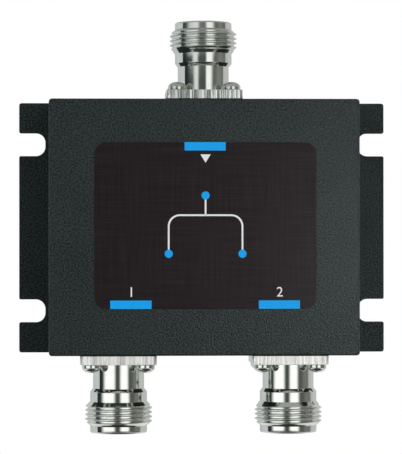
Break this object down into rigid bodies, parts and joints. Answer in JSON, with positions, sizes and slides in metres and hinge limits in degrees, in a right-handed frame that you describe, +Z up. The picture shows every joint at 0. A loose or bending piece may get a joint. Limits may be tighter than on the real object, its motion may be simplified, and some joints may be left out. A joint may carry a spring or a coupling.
{
  "type": "rf power splitter",
  "caption": "Dark powder-coated coaxial power splitter: flat box on a notched mounting plate, threaded input socket on top, threaded output sockets below.",
  "frame": {"origin": "middle of the mounting plate's back face, which lies against the wall", "axes": "+Y into the wall, +Z up through the input socket, +X to the right as seen from the front"},
  "size_m": [0.088, 0.0202, 0.097],
  "materials": {
    "powder_coat": "fine sandy dark grey-green powder coat",
    "label_film": "near-black printed film with a fine woven look and blue port bars",
    "nickel_plate": "bright nickel plate on turned brass",
    "screw_steel": "satin nickel-plated steel",
    "white_plastic": "waxy white fluoropolymer",
    "gold_plate": "gold plate",
    "laminate": "woven glass laminate",
    "copper_foil": "tinned copper foil",
    "black_ceramic": "black chip resistor"
  },
  "bodies": {
    "root": {"housing": "powder_coat", "rear_plate": "powder_coat", "front_label": "label_film", "input_shell": "nickel_plate", "input_insulator": "white_plastic", "input_contact": "gold_plate", "input_flange_screw_1": "screw_steel", "input_flange_screw_2": "screw_steel", "input_flange_screw_3": "screw_steel", "input_flange_screw_4": "screw_steel", "output_1_shell": "nickel_plate", "output_1_insulator": "white_plastic", "output_1_contact": "gold_plate", "output_1_flange_screw_1": "screw_steel", "output_1_flange_screw_2": "screw_steel", "output_1_flange_screw_3": "screw_steel", "output_1_flange_screw_4": "screw_steel", "output_2_shell": "nickel_plate", "output_2_insulator": "white_plastic", "output_2_contact": "gold_plate", "output_2_flange_screw_1": "screw_steel", "output_2_flange_screw_2": "screw_steel", "output_2_flange_screw_3": "screw_steel", "output_2_flange_screw_4": "screw_steel", "cover_screw_1": "screw_steel", "cover_screw_2": "screw_steel", "cover_screw_3": "screw_steel", "cover_screw_4": "screw_steel", "cover_screw_5": "screw_steel", "cover_screw_6": "screw_steel", "cover_screw_7": "screw_steel", "cover_screw_8": "screw_steel", "circuit_board": "laminate", "divider_track": "copper_foil", "isolation_resistor_1": "black_ceramic", "isolation_resistor_2": "black_ceramic", "isolation_resistor_3": "black_ceramic", "board_screw_1": "screw_steel", "board_screw_2": "screw_steel", "board_screw_3": "screw_steel", "board_screw_4": "screw_steel"}
  },
  "joints": []
}
